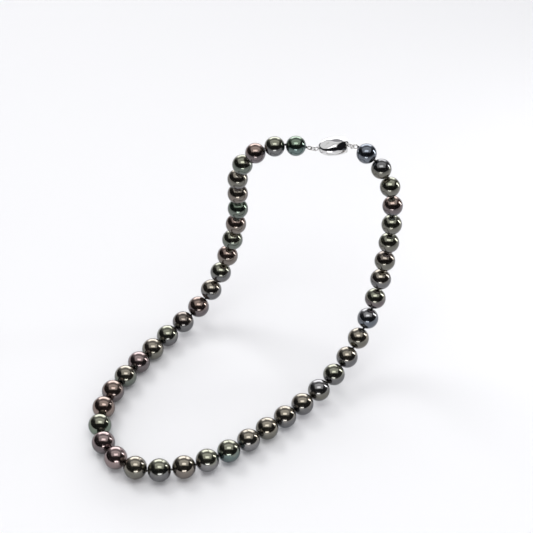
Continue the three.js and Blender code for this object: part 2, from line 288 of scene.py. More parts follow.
@dataclass(frozen=True)
class Nacre:
    """Deep nacre: a tinted mirror whose overtone changes from its crown to its belly. The crown's and
    belly's tints are laid by height in the world, lighter on each pearl's top and bottom where the
    overhead panel and the floor are reflected, with the darker body between: partly the pearl's own
    overtone, partly painted reflection and painted shade.
    """

    body: Tone
    crown: Tone
    belly: Tone
    # The darker body shows round each pearl's middle: painted shade between the painted reflections on
    # its top and bottom.
    depth: float = 0.70      # how much darker the body is than its tone
    edge: Colour = (0.22, 0.22, 0.24)        # it darkens towards its outline
    drift: float = 0.9                       # how far clouds move the crown's and belly's tints
    growth_rings: float = 46.0               # waves of growth over one radius, times tau
    ring_shade: Colour = (0.55, 0.55, 0.56)
    pit_shade: Colour = (0.6, 0.58, 0.56)
    polish: float = 0.13                     # roughness of the bare nacre
    skin: float = 0.85                       # weight of the clear outer skin
    skin_polish: float = 0.045

    def material(self, name: str, radius: float, up: Vector, seed: float) -> bpy.types.Material:
        """Makes one pearl's nacre.

        Args:
            name: The material's name.
            radius: The pearl's radius in metres.
            up: The way up in the pearl's own axes, whose Z is its bore; the crown's tint, a painted
                reflection of the overhead panel, is laid towards it.
            seed: Moves the pearl's clouds, so that no two are alike.

        Returns:
            The material.
        """
        def paint(graph: Graph) -> dict:
            """Lays the overtones, with painted reflections by height in the world, growth rings, pits
            and the drilled rim.
            """
            place = graph.node("ShaderNodeTexCoord").output("Object")
            unit = graph.scaled(place, 1 / radius)
            moved = graph.vector("ADD", unit, (seed, seed * 0.7, -seed))
            height = graph.vector("DOT_PRODUCT", unit, tuple(up)).output("Value")
            along = graph.node("ShaderNodeSeparateXYZ", {}, {0: unit}).output("Z")
            cloud = graph.noise(moved, 1.4, 3)
            mottle = graph.noise(moved, 7.0, 4)
            painted_reflection_zone = height + (cloud - 0.5) * self.drift

            # Painted reflection and shade: the crown's tint on each pearl's top and the belly's on its
            # bottom, by height in the world, with the darker body between.
            deep = tuple(part * self.depth for part in self.body.linear)
            tint = graph.blend(deep, self.crown.linear, painted_reflection_zone.between(0.15, 0.85))
            tint = graph.blend(tint, self.belly.linear, (0 - painted_reflection_zone).between(0.05, 0.75) * 0.85)
            tint = graph.blend(tint, Tone.SILVER.linear, mottle.between(0.5, 0.85) * 0.16)
            rings = (along * self.growth_rings + cloud * 9).math("SINE") * 0.5 + 0.5
            tint = graph.blend(tint, self.ring_shade, rings * 0.10, "MULTIPLY")

            grain = graph.noise(moved, 34, 3)
            cells = graph.node("ShaderNodeTexVoronoi", {}, {"Vector": moved, "Scale": 5.5})
            pits = 1 - cells.between(0.02, 0.075)
            tint = graph.blend(tint, self.pit_shade, pits * 0.35, "MULTIPLY")

            flat = graph.vector("MULTIPLY", unit, (1, 1, 0))
            off_bore = graph.vector("LENGTH", flat).output("Value")
            rim = BORE_RIM / radius
            drilled = 1 - off_bore.between(rim * 0.86, rim * 1.02)
            tint = graph.blend(tint, Tone.CORE.linear, drilled * 0.8)
            return {
                "Base Color": tint,
                "Metallic": (0.99 - cloud * 0.03) * (1 - drilled * 0.9),
                "Roughness": self.polish + grain * 0.05 + mottle * 0.04 + drilled * 0.4,
                "Normal": graph.bumps((cloud, 40e-6), (rings, 2.5e-6), (grain, 3e-6), (1 - pits, 12e-6)),
                "IOR": 1.6,
                "Specular Tint": self.edge,
                "Coat Weight": (1 - drilled) * self.skin,
                "Coat Roughness": self.skin_polish,
                "Coat IOR": 1.7,
            }

        return finished(name, paint)


# A darker copy of the olive's silver for the thin parts: painted shade, since they are the same metal.
SHADED_SILVER = (0.66, 0.65, 0.64)         # the tongue, the eyes and the rings


@dataclass(frozen=True)
class Silver:
    """Polished silver with hairline scratches, faint smudges and a little tarnish."""

    shade: Colour = (0.74, 0.735, 0.73)
    tarnish: Colour = (0.30, 0.27, 0.23)
    gloss: float = 0.05
    wear: float = 0.30
    seam_height: float | None = None

    def material(self, name: str) -> bpy.types.Material:
        """Makes the metal.

        Args:
            name: The material's name.

        Returns:
            The material.
        """
        def paint(graph: Graph) -> dict:
            """Lays smudges, tarnish, scratches and the soldered seam."""
            place = graph.node("ShaderNodeTexCoord").output("Object")
            smudge = graph.noise(place, 260, 4)
            spots = graph.noise(place, 900, 5)
            brushed = graph.vector("MULTIPLY", place, (1, 9, 9))
            hairs = graph.noise(brushed, 1500, 6)
            crossed = graph.noise(graph.vector("MULTIPLY", place, (8, 1, 3)), 1300, 6)
            scratches = graph.math("MAXIMUM", hairs.between(0.60, 0.72), crossed.between(0.64, 0.74))
            dull = (smudge * spots).between(0.27, 0.45)
            tint = graph.blend(self.shade, self.tarnish, dull * self.wear)
            depth = [(scratches, -0.6e-6), (smudge, 5e-6)]
            if self.seam_height is not None:
                level = graph.node("ShaderNodeSeparateXYZ", {}, {0: place}).output("Z")
                seam = 1 - (level - self.seam_height).math("ABSOLUTE").between(0.02 * MM, 0.07 * MM)
                tint = graph.blend(tint, self.tarnish, seam * 0.35)
                depth.append((seam, -15e-6))
            return {
                "Base Color": tint,
                "Metallic": 1.0,
                "Roughness": self.gloss + scratches * 0.10 + dull * 0.22 + smudge * 0.03,
                "Normal": graph.bumps(*depth),
            }

        return finished(name, paint)


@dataclass(frozen=True)
class SilkThread:
    """Dark twisted silk with a soft fibre sheen."""

    shade: Colour = (0.022, 0.020, 0.021)
    worn: Colour = (0.085, 0.078, 0.074)

    def material(self, name: str) -> bpy.types.Material:
        """Makes the thread's finish.

        Args:
            name: The material's name.

        Returns:
            The material.
        """
        def paint(graph: Graph) -> dict:
            """Lays the fibres, the paler worn tops and a fuzz."""
            place = graph.node("ShaderNodeTexCoord").output("Object")
            fibres = graph.noise(graph.vector("MULTIPLY", place, (1, 1, 0.3)), 9000, 3)
            fuzz = graph.noise(place, 2600, 4)
            tint = graph.blend(self.shade, self.worn, (fibres * fuzz).between(0.18, 0.42))
            return {
                "Base Color": tint,
                "Roughness": 0.62 + fuzz * 0.3,
                "Sheen Weight": 0.35,
                "Sheen Roughness": 0.4,
                "Normal": graph.bumps((fibres, 30e-6), (fuzz, 20e-6)),
            }

        return finished(name, paint)


@dataclass(frozen=True)
class Table:
    """A pale matt-lacquered table top."""

    shade: Colour = (0.86, 0.86, 0.87)
    clouded: Colour = (0.83, 0.83, 0.85)
    dullness: float = 0.48

    def material(self, name: str) -> bpy.types.Material:
        """Makes the table's finish.

        Args:
            name: The material's name.

        Returns:
            The material.
        """
        def paint(graph: Graph) -> dict:
            """Lays faint clouds over the lacquer."""
            place = graph.node("ShaderNodeTexCoord").output("Object")
            cloud = graph.noise(place, 3, 2)
            return {
                "Base Color": graph.blend(self.shade, self.clouded, cloud * 0.6),
                "Roughness": self.dullness + cloud * 0.1,
                "Specular IOR Level": 0.15,
            }

        return finished(name, paint)


# ---- Meshes ---------------------------------------------------------------------------


@dataclass
class Shape:
    """Points and faces that become one piece."""

    points: list[Vector] = field(default_factory=list)
    faces: list[tuple[int, ...]] = field(default_factory=list)

    def skin(self, rings: Sequence[Ring], closed: bool = False) -> "Shape":
        """Adds a skin over rings of points that share one count.

        Args:
            rings: The rings in order.
            closed: Whether the last ring joins the first; otherwise both ends are capped.

        Returns:
            This shape.
        """
        base, count, total = len(self.points), len(rings[0]), len(rings)
        self.points += [point for ring in rings for point in ring]
        for ring in range(total if closed else total - 1):
            here, there = base + ring * count, base + (ring + 1) % total * count
            for side in range(count):
                following = (side + 1) % count
                self.faces.append((here + side, here + following, there + following, there + side))
        if not closed:
            last = base + (total - 1) * count
            self.faces.append(tuple(range(base + count - 1, base - 1, -1)))
            self.faces.append(tuple(range(last, last + count)))
        return self

    def tube(self, path: Sequence[Vector], radius: float | Sequence[float], sides: int,
             closed: bool = False) -> "Shape":
        """Adds a round tube along a path.

        Args:
            path: The points along its middle.
            radius: Its radius, or one radius for each point.
            sides: How many sides it has.
            closed: Whether it comes round to its start.

        Returns:
            This shape.
        """
        count = len(path)
        radii = [radius] * count if isinstance(radius, (int, float)) else radius
        ahead = [(path[(i + 1) % count] if closed or i < count - 1 else path[i])
                 - (path[i - 1] if closed or i > 0 else path[i]) for i in range(count)]
        across = ahead[0].orthogonal().normalized()
        rings = []
        for point, direction, reach in zip(path, ahead, radii):
            direction = direction.normalized()
            across = (across - direction * across.dot(direction)).normalized()
            other = direction.cross(across)
            rings.append(circle(point, reach, across, other, turns(sides)))
        if closed:
            rings = self._untwisted(rings)
        return self.skin(rings, closed)

    @staticmethod
    def _untwisted(rings: list[Ring]) -> list[Ring]:
        """Turns the rings of a closed tube little by little, so that its ends line up.

        Args:
            rings: The rings in order; the last comes before the first.

        Returns:
            The rings, each started at another point.
        """
        count, first, last = len(rings[0]), rings[0], rings[-1]
        shift = min(range(count), key=lambda k: (last[k] - first[0]).length)
        total = len(rings)
        starts = [round(shift * place / total) for place in range(total)]
        return [ring[start:] + ring[:start] for ring, start in zip(rings, starts)]

    def prism(self, outline: Sequence[Vector], depth: Vector) -> "Shape":
        """Adds an outline drawn out along a vector."""
        return self.skin([list(outline), [point + depth for point in outline]])

    def piece(self, name: str, material: bpy.types.Material, place: Matrix | None = None,
              bevel: float = 0.0) -> bpy.types.Object:
        """Turns the shape into a smooth object.

        Args:
            name: The piece's name.
            material: Its finish.
            place: Where its own axes stand, if not at the origin.
            bevel: How far its sharp edges are rounded.

        Returns:
            The object.
        """
        mesh = bpy.data.meshes.new(name)
        mesh.from_pydata(self.points, [], self.faces)
        mesh.validate()
        mesh.materials.append(material)
        made = bpy.data.objects.new(name, mesh)
        bpy.context.scene.collection.objects.link(made)
        made.matrix_world = place or Matrix()
        outward(made)
        if bevel:
            rounding = made.modifiers.new("rounding", "BEVEL")
            rounding.width, rounding.segments = bevel, 3
            rounding.limit_method, rounding.angle_limit = "ANGLE", math.radians(32)
            settle(made)
        made.data.shade_smooth()
        made.data.set_sharp_from_angle(angle=math.radians(40))
        return made


def turns(count: int, start: float = 0.0) -> list[float]:
    """Angles spread evenly round a circle, in radians."""
    return [start + math.tau * step / count for step in range(count)]


def circle(middle: Vector, radius: float, across: Vector, other: Vector,
           angles: Sequence[float]) -> Ring:
    """Places points round a circle.

    Args:
        middle: The circle's middle.
        radius: Its radius.
        across: The way to the point at angle 0.
        other: The way to the point at a quarter turn.
        angles: Where the points lie, in radians.

    Returns:
        The points.
    """
    return [middle + across * (radius * math.cos(t)) + other * (radius * math.sin(t))
            for t in angles]


def outward(piece: bpy.types.Object) -> None:
    """Makes every face of a piece's closed shells look outward."""
    work = bmesh.new()
    work.from_mesh(piece.data)
    bmesh.ops.recalc_face_normals(work, faces=work.faces)
    work.to_mesh(piece.data)
    work.free()


def settle(piece: bpy.types.Object) -> None:
    """Replaces a piece's mesh by what its modifiers make of it."""
    seen = piece.evaluated_get(bpy.context.evaluated_depsgraph_get())
    settled = bpy.data.meshes.new_from_object(seen)
    piece.modifiers.clear()
    piece.data = settled


def frame_points(node: str) -> np.ndarray:
    """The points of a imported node, one row each."""
    return np.array([tuple(vertex.co) for vertex in frame["nodes"][node].data.vertices])


def principal_frame(node: str) -> Matrix:
    """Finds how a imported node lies.

    Args:
        node: The node's name.

    Returns:
        A matrix at its middle, with X along its longest way and Y along its shortest.
    """
    points = frame_points(node)
    middle = (points.max(axis=0) + points.min(axis=0)) / 2
    _, _, ways = np.linalg.svd(points - points.mean(axis=0), full_matrices=False)
    longest, shortest = Vector(ways[0]), Vector(ways[2])
    turn = Matrix((longest, shortest, longest.cross(shortest))).transposed()
    return Matrix.Translation(Vector(middle)) @ turn.to_4x4()


def body_of(node: str) -> str:
    """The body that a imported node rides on."""
    return frame["nodes"][node]["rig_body"]


def fit(piece: bpy.types.Object, body: str, slot: str, *nodes: str) -> None:
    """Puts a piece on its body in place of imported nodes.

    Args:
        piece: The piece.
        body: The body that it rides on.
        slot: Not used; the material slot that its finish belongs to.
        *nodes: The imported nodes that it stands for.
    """
    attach(piece, body)
    if nodes:
        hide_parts(*nodes)
    log.info("%s on %s, %d faces", piece.name, body, len(piece.data.polygons))


# ---- The strand -----------------------------------------------------------------------

# Body, crown and belly of each pearl, from the clasp outwards; the crown and belly tints are laid on
# each pearl's top and bottom as painted reflections, the darker body between as painted shade.
LEFT_TONES = (
    (Tone.TEAL, Tone.PEACOCK, Tone.TEAL), (Tone.GREY, Tone.LIME, Tone.STEEL),
    (Tone.AUBERGINE, Tone.COPPER, Tone.MAUVE), (Tone.GREEN, Tone.LIME, Tone.GREY),
    (Tone.OLIVE, Tone.CREAM, Tone.LILAC), (Tone.BRONZE, Tone.CREAM, Tone.GREY),
    (Tone.GREEN, Tone.PEACOCK, Tone.TEAL), (Tone.BRONZE, Tone.COPPER, Tone.BRONZE),
    (Tone.GREEN, Tone.LIME, Tone.GREEN), (Tone.BRONZE, Tone.COPPER, Tone.BRONZE),
    (Tone.GREY, Tone.LIME, Tone.BRONZE), (Tone.GREY, Tone.CREAM, Tone.GREY),
    (Tone.AUBERGINE, Tone.COPPER, Tone.AUBERGINE), (Tone.GREY, Tone.BRONZE, Tone.GREY),
    (Tone.GREY, Tone.LIME, Tone.AUBERGINE), (Tone.OLIVE, Tone.CREAM, Tone.OLIVE),
    (Tone.AUBERGINE, Tone.ROSE, Tone.MAUVE), (Tone.GREEN, Tone.CREAM, Tone.GREY),
    (Tone.AUBERGINE, Tone.COPPER, Tone.BRONZE), (Tone.COPPER, Tone.COPPER, Tone.ROSE),
    (Tone.PEACOCK, Tone.LIME, Tone.TEAL), (Tone.AUBERGINE, Tone.ROSE, Tone.GREY),
)
RIGHT_TONES = (
    (Tone.STEEL, Tone.STEEL, Tone.STEEL), (Tone.OLIVE, Tone.GREY, Tone.BRONZE),
    (Tone.OLIVE, Tone.LIME, Tone.TEAL), (Tone.AUBERGINE, Tone.COPPER, Tone.STEEL),
    (Tone.OLIVE, Tone.LIME, Tone.GREY), (Tone.OLIVE, Tone.LIME, Tone.LILAC),
    (Tone.OLIVE, Tone.BRONZE, Tone.OLIVE), (Tone.GREY, Tone.CREAM, Tone.MAUVE),
    (Tone.AUBERGINE, Tone.LIME, Tone.MAUVE), (Tone.STEEL, Tone.SILVER, Tone.STEEL),
    (Tone.OLIVE, Tone.CREAM, Tone.BRONZE), (Tone.GREY, Tone.CREAM, Tone.LILAC),
    (Tone.GREY, Tone.LIME, Tone.GREEN), (Tone.OLIVE, Tone.SILVER, Tone.LILAC),
    (Tone.GREY, Tone.CREAM, Tone.LILAC), (Tone.GREY, Tone.CREAM, Tone.STEEL),
    (Tone.OLIVE, Tone.CREAM, Tone.OLIVE), (Tone.SILVER, Tone.CREAM, Tone.GREY),
    (Tone.TEAL, Tone.LIME, Tone.STEEL), (Tone.SILVER, Tone.LIME, Tone.LILAC),
    (Tone.BRONZE, Tone.CREAM, Tone.BRONZE), (Tone.GREY, Tone.LIME, Tone.GREY),
    (Tone.OLIVE, Tone.CREAM, Tone.BRONZE), (Tone.ROSE, Tone.ROSE, Tone.MAUVE),
)


@dataclass
class Pearl:
    """One drilled pearl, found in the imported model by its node."""

    node: str
    tones: tuple[Tone, Tone, Tone]
    bore: float = 0.55 * MM
    rim: float = BORE_RIM
    rim_depth: float = 0.35 * MM
    rim_rounding: float = 0.10 * MM
    sides: int = 56
    arc_steps: int = 34
    out_of_round: float = 0.0035
    middle: Vector = field(init=False)
    axis: Vector = field(init=False)
    radius: float = field(init=False)

    def __post_init__(self) -> None:
        """Finds the pearl's middle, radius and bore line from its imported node."""
        points = frame_points(self.node)
        middle = points.mean(axis=0)
        away = np.linalg.norm(points - middle, axis=1)
        throat = points[away < away.max() - self.rim_depth / 2] - middle
        lengthwise = throat[0] if throat[0].any() else throat[1]
        one_end = throat[throat @ lengthwise > 0]
        self.middle = Vector(middle)
        self.axis = Vector(one_end.mean(axis=0)).normalized()
        self.radius = float(away.max())

    @property
    def place(self) -> Matrix:
        """The pearl's own axes: its middle, with Z along the bore."""
        turn = UP.rotation_difference(self.axis).to_matrix()
        return Matrix.Translation(self.middle) @ turn.to_4x4()

    def profile(self) -> list[tuple[float, float]]:
        """Draws half the outline of the drilled pearl.

        Returns:
            Distances from the bore's axis and heights along it, from one throat to the other.
        """
        opening = math.asin(self.rim / self.radius)
        throat = self.radius * math.cos(opening) - self.rim_depth
        half = []
        for step in range(4):
            share = step / 3
            half.append((self.bore + (self.rim - self.rim_rounding - self.bore) * share,
                         throat + self.rim_depth * 0.92 * share))
        first = opening + self.rim_rounding / self.radius
        for step in range(self.arc_steps // 2 + 1):
            turn = first + (math.pi / 2 - first) * step / (self.arc_steps // 2)
            half.append((self.radius * math.sin(turn), self.radius * math.cos(turn)))
        return half + [(reach, -height) for reach, height in reversed(half[:-1])]

    def shape(self, dice: random.Random) -> Shape:
        """Builds the pearl about its bore, a hair off round.

        Args:
            dice: Where the small unevenness comes from.

        Returns:
            The shape, in the pearl's own axes.
        """
        egg, lean, start = (dice.uniform(-1, 1) for _ in range(3))
        rings = []
        for reach, height in self.profile():
            level = height / self.radius
            ring = []
            for turn in turns(self.sides):
                wave = egg * (1.5 * level * level - 0.5) + lean * math.cos(2 * turn + start * math.pi)
                swell = 1 + self.out_of_round * wave * min(1, reach / self.rim / 2)
                ring.append(Vector((reach * swell * math.cos(turn), reach * swell * math.sin(turn),
                                    height)))
            rings.append(ring)
        return Shape().skin(rings, closed=True)

    def build(self, dice: random.Random) -> None:
        """Builds and dresses the pearl.

        Args:
            dice: Where its small differences come from.
        """
        # The world's up in the pearl's own axes; the nacre lays its painted reflections by it.
        way_up = self.place.to_3x3().transposed() @ UP
        nacre = Nacre(*self.tones).material(f"nacre_{self.node}", self.radius, way_up,
                                            dice.uniform(0, 40))
        made = self.shape(dice).piece(self.node.replace("pearl", "round_pearl"), nacre, self.place)
        slot = frame["nodes"][self.node].data.materials[0].name.split(".")[0]
        fit(made, body_of(self.node), slot, self.node)


@dataclass
class Strand:
    """All the pearls in their order, and the knotted silk that carries them."""

    left: int = len(LEFT_TONES)
    right: int = len(RIGHT_TONES)
    ply: float = 0.15 * MM           # radius of one of the two plies of the silk
    twist: float = 1.3 * MM          # length of one turn of the plies
    knot_reach: float = 0.40 * MM    # from a knot's axis to the middle of its outer loops
    knot_height: float = 0.13 * MM
    knot_ply: float = 0.16 * MM
    gap: float = 0.45 * MM
    entry: float = 1.6 * MM          # how far the silk is followed into a bore
    pearls: list[Pearl] = field(default_factory=list)
    silk: bpy.types.Material = field(init=False)

    def dress(self) -> None:
        """Makes the finish of all the silk."""
        self.silk = SilkThread().material("twisted_silk")

    def find(self) -> None:
        """Finds every pearl and points all the bores one way along the strand."""
        named = [(f"pearl_left_{n + 1:02d}", LEFT_TONES[n]) for n in range(self.left)]
        named += [(f"pearl_right_{n + 1:02d}", RIGHT_TONES[n]) for n in reversed(range(self.right))]
        self.pearls = [Pearl(node, tones) for node, tones in named]
        for place, pearl in enumerate(self.pearls):
            before = self.pearls[max(0, place - 1)].middle
            after = self.pearls[min(len(self.pearls) - 1, place + 1)].middle
            if pearl.axis.dot(after - before) < 0:
                pearl.axis.negate()

    def build_pearls(self) -> None:
        """Builds every pearl."""
        dice = random.Random(SEED)
        for pearl in self.pearls:
            pearl.build(dice)

    def end_of(self, pearl: Pearl, way: int) -> Vector:
        """The middle of the gap beside a pearl; way is 1 ahead and -1 behind."""
        return pearl.middle + pearl.axis * (way * (pearl.radius + self.gap / 2))

    def add_plies(self, shape: Shape, start: Vector, end: Vector) -> None:
        """Adds two twisted plies between two points.

        Args:
            shape: The shape that they join.
            start: Where the silk starts.
            end: Where it ends.
        """
        run = end - start
        ahead = run.normalized()
        across = ahead.orthogonal().normalized()
        other = ahead.cross(across)
        steps = max(4, round(run.length / self.twist * 10))
        for ply in (0, math.pi):
            path = []
            for step in range(steps + 1):
                share = step / steps
                turn = ply + math.tau * share * run.length / self.twist
                aside = across * math.cos(turn) + other * math.sin(turn)
                path.append(start + run * share + aside * (self.ply * 0.92))
            shape.tube(path, self.ply, 10)

    def add_knot(self, shape: Shape, middle: Vector, along: Vector, turn: float) -> None:
        """Adds an overhand knot, pulled tight.

        Args:
            shape: The shape that it joins.
            middle: Where the knot lies.
            along: The way that the silk runs.
            turn: How far the knot is turned about it.
        """
        across = along.orthogonal().normalized()
        other = along.cross(across)
        path = []
        for angle in turns(64, turn):
            lobe = (angle - turn) * 3
            reach = self.knot_reach * (0.66 + 0.34 * math.cos(lobe))
            aside = across * math.cos(2 * angle) + other * math.sin(2 * angle)
            path.append(middle + aside * reach + along * (self.knot_height * math.sin(lobe)))
        shape.tube(path, self.knot_ply, 10, closed=True)

    def build_silk(self) -> None:
        """Builds the silk of each body: its threads and the knot before each of its pearls."""
        dice = random.Random(SEED + 1)
        shapes: dict[str, Shape] = {}
        for place, pearl in enumerate(self.pearls):
            shape = shapes.setdefault(body_of(pearl.node), Shape())
            for way in (-1, 1):
                outer = self.end_of(pearl, way)
                self.add_plies(shape, outer, outer - pearl.axis * (way * self.entry))
            if place:
                before = self.pearls[place - 1]
                middle = (self.end_of(before, 1) + self.end_of(pearl, -1)) / 2
                along = (before.axis + pearl.axis).normalized()
                self.add_knot(shape, middle, along, dice.uniform(0, math.tau))
        held = {body_of(node): node for node in frame["nodes"] if node.startswith("silk")}
        for body, shape in shapes.items():
            made = shape.piece(f"knotted_silk_{body}", self.silk)
            fit(made, body, "silk", *([held[body]] if body in held else []))


# ---- The clasp ------------------------------------------------------------------------


@dataclass
class Clasp:
    """The olive clasp, in its own axes: X along it to the mouth, Z up, its flat at zero."""

    length: float = 11.8 * MM
    width: float = 9.0 * MM
    height: float = 7.2 * MM
    wall: float = 0.8 * MM
    mouth_width: float = 6.0 * MM
    mouth_height: float = 5.0 * MM
    tail_width: float = 2.6 * MM
    fullness: float = 0.7
    flat_depth: float = 0.35 * MM
    tongue_width: float = 3.0 * MM
    tongue_thickness: float = 0.5 * MM
    tongue_reach: float = 8.0 * MM
    tongue_play: float = 0.35 * MM
    leaf_gap: float = 0.9 * MM
    neck: float = 0.9 * MM
    tab_height: float = 1.3 * MM
    tab_length: float = 0.6 * MM
    eye: float = 1.8 * MM
    wire: float = 0.5 * MM
    clearance: float = 0.08 * MM
    sides: int = 72
    stations: int = 44
    lip: float = 0.22 * MM
    lip_place: float = 0.965         # of the half length, where the mouth's bead lies
    # The collar that holds the tail's eye: places behind the olive's end and radii there.
    collar: tuple[tuple[float, float], ...] = ((-0.10 * MM, 0.95 * MM), (0.0, 0.90 * MM),
                                               (0.12 * MM, 0.62 * MM), (0.26 * MM, 0.42 * MM),
                                               (0.40 * MM, 0.30 * MM))
    # The oval facets hammered onto the olive: which way each faces, and how deep it is cut.
    facets: tuple[tuple[tuple[float, float, float], float], ...] = (
        ((-0.32, -0.27, 0.91), 0.50 * MM), ((0.27, -0.70, 0.66), 0.72 * MM))
    yaw: float = field(init=False)
    olive: bpy.types.Material = field(init=False)
    polished: bpy.types.Material = field(init=False)

    def __post_init__(self) -> None:
        """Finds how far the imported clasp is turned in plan."""
        ahead = principal_frame("clasp_body").col[0].xyz
        towards_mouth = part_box("tongue_plate")[1].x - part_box("tail_eye")[0].x
        ahead = ahead if ahead.x * towards_mouth > 0 else -ahead
        self.yaw = math.atan2(ahead.y, ahead.x)

    @property
    def place(self) -> Matrix:
        """The clasp's own axes."""
        return Matrix.Rotation(self.yaw, 4, "Z")

    @property
    def axis_height(self) -> float:
        """Height of the clasp's axis over its flat."""
        return self.height / 2 - self.flat_depth

    @property
    def plate_top(self) -> float:
        """Top of the tongue's lower strip."""
        return self.axis_height - self.leaf_gap / 2

    def dress(self) -> None:
        """Makes the olive's metal, with its soldered seam, and a darker copy of it for the rest, painted
        shade on the thin parts.
        """
        self.olive = Silver(seam_height=self.axis_height).material("polished_olive")
        self.polished = Silver(shade=SHADED_SILVER).material("polished_silver")

    def swell(self, along: float, tail: float, middle: float, mouth: float) -> float:
        """Half extent of the olive at a place.

        Args:
            along: The place, from -1 at the tail to 1 at the mouth.
            tail: Half extent at the tail.
            middle: Half extent in the middle.
            mouth: Half extent at the mouth.

        Returns:
            The half extent there.
        """
        end = tail if along < 0 else mouth
        return end + (middle - end) * (1 - min(1.0, along * along)) ** self.fullness

    def section(self, along: float, inset: float, floor: float) -> Ring:
        """One cross-section of the olive.

        Args:
            along: Its place, from -1 at the tail to 1 at the mouth.
            inset: How far it lies inside the outer skin.
            floor: The lowest that any of it may be.

        Returns:
            Its points.
        """
        half_width = self.swell(along, self.tail_width / 2, self.width / 2, self.mouth_width / 2)
        half_height = self.swell(along, self.tail_width / 2, self.height / 2, self.mouth_height / 2)
        squareness = 1 - 0.4 * max(0.0, along)
        ring = []
        for turn in turns(self.sides, math.pi / self.sides):
            cosine, sine = math.cos(turn), math.sin(turn)
            across = math.copysign(abs(cosine) ** squareness, cosine) * (half_width - inset)
            rise = math.copysign(abs(sine) ** squareness, sine) * (half_height - inset)
            ring.append(Vector((along * (self.length / 2 - inset), across,
                                max(floor, self.axis_height + rise))))
        return ring

    def planish(self, rings: list[Ring]) -> None:
        """Flattens the oval facets onto the upper front of the olive.

        Args:
            rings: The outer sections, whose points are moved.
        """
        points = [point for ring in rings for point in ring]
        for facing, depth in self.facets:
            way = Vector(facing).normalized()
            reach = max(point.dot(way) for point in points) - depth
            for point in points:
                point -= way * max(0.0, point.dot(way) - reach)

    def slot_ring(self, x: float) -> Ring:
        """The slot's rectangle at a place along the clasp, with as many points as a section.

        Args:
            x: The place along the clasp's axis.

        Returns:
            Its points.
        """
        half_width = self.tongue_width / 2 + self.tongue_play
        half_height = (2 * self.tongue_thickness + self.leaf_gap + self.tongue_play) / 2
        ring = []
        for turn in turns(self.sides, math.pi / self.sides):
            cosine, sine = math.cos(turn), math.sin(turn)
            reach = min(half_width / max(abs(cosine), 1e-9), half_height / max(abs(sine), 1e-9))
            ring.append(Vector((x, reach * cosine, self.axis_height + reach * sine)))
        return ring

    def build_body(self) -> None:
        """Builds the hollow olive with its slot and the bead round its mouth."""
        places = [-math.cos(math.pi * step / self.stations) for step in range(self.stations + 1)]
        outer = [self.section(along, 0, 0) for along in places]
        self.planish(outer)
        inner = [self.section(along, self.wall, self.wall) for along in reversed(places)]
        end = self.length / 2
        rings = outer + [self.slot_ring(end), self.slot_ring(end - self.wall)] + inner
        shape = Shape().skin(rings)
        made = shape.piece("clasp_olive", self.olive, self.place, bevel=0.12 * MM)
        fit(made, body_of("clasp_body"), "silver", "clasp_body")

        edge = self.section(self.lip_place, 0.04 * MM, self.lip)
        bead = Shape().tube(edge, self.lip, 12, closed=True)
        fit(bead.piece("clasp_mouth_bead", self.olive, self.place), body_of("clasp_body"), "silver")

    def build_tail(self) -> None:
        """Builds the eye on the closed end and the collar that it is soldered into."""
        x = -self.length / 2 - self.clearance - (self.eye + self.wire) / 2
        middle = Vector((x, 0, self.axis_height))
        path = circle(middle, self.eye / 2, X, UP, turns(48))
        shape = Shape().tube(path, self.wire / 2, 16, closed=True)
        rings = [circle(Vector((-self.length / 2 - back, 0, self.axis_height)), radius, Y, UP,
                        turns(24)) for back, radius in self.collar]
        shape.skin(rings)
        fit(shape.piece("soldered_tail_eye", self.polished, self.place), body_of("tail_eye"),
            "silver", "tail_eye")

    def build_plate(self) -> None:
        """Builds the tongue's lower strip, its neck and its eye."""
        end = self.length / 2
        half, neck_half = self.tongue_width / 2, self.tongue_width * 0.24
        back, shoulder = end - self.tongue_reach, end + self.neck * 0.35
        eye_middle = Vector((end + self.neck + self.eye / 2, 0, self.plate_top - self.wire / 2))
        bottom = self.plate_top - self.tongue_thickness
        side = [(back, half * 0.8), (back + half * 0.2, half), (end, half), (shoulder, half * 0.92),
                (end + self.neck * 0.7, neck_half * 1.2), (end + self.neck * 1.12, neck_half)]
        outline = [Vector((x, y, bottom)) for x, y in side]
        outline += [Vector((x, -y, bottom)) for x, y in reversed(side)]
        strip = Shape().prism(outline, Vector((0, 0, self.tongue_thickness)))
        strip.tube(circle(eye_middle, self.eye / 2, X, Y, turns(48)), self.wire / 2, 16, closed=True)
        fit(strip.piece("tongue_strip", self.polished, self.place, bevel=0.07 * MM),
            body_of("tongue_plate"), "silver", "tongue_plate")

    def build_leaf(self) -> None:
        """Builds the springy leaf with its grooved thumb tab."""
        end, thick = self.length / 2, self.tongue_thickness
        low = self.plate_top + 0.1 * MM
        high = self.plate_top + self.leaf_gap
        back, rise_end = end - self.tongue_reach, end - self.wall
        tab = end + self.tongue_play
        slope = [(back + (rise_end - back) * s, low + (high - low) * (3 * s * s - 2 * s ** 3) * 0.5
                  + (high - low) * s * 0.5) for s in (0, 0.15, 0.3, 0.45, 0.6, 0.75, 0.9, 1)]
        under = slope + [(tab + self.tab_length * 0.75, high), (tab + self.tab_length, high + 0.12 * MM)]
        top = high + self.tab_height
        outer = [(tab + self.tab_length - (0.10 * MM if groove % 2 else 0.0),
                  high + (0.3 + 0.14 * groove) * MM) for groove in range(6)]
        crown = [(tab + self.tab_length - 0.1 * MM, top), (tab + 0.1 * MM, top),
                 (tab, top - 0.12 * MM), (tab, high + thick + 0.15 * MM),
                 (tab - 0.12 * MM, high + thick)]
        over = [(x, z + thick) for x, z in reversed(slope)]
        half = self.tongue_width / 2
        outline = [Vector((x, -half, z)) for x, z in under + outer + crown + over]
        leaf = Shape().prism(outline, Vector((0, 2 * half, 0)))
        fit(leaf.piece("spring_leaf", self.polished, self.place, bevel=0.05 * MM),
            body_of("tongue_leaf"), "silver", "tongue_leaf")


# ---- Rings and guard loops ------------------------------------------------------------


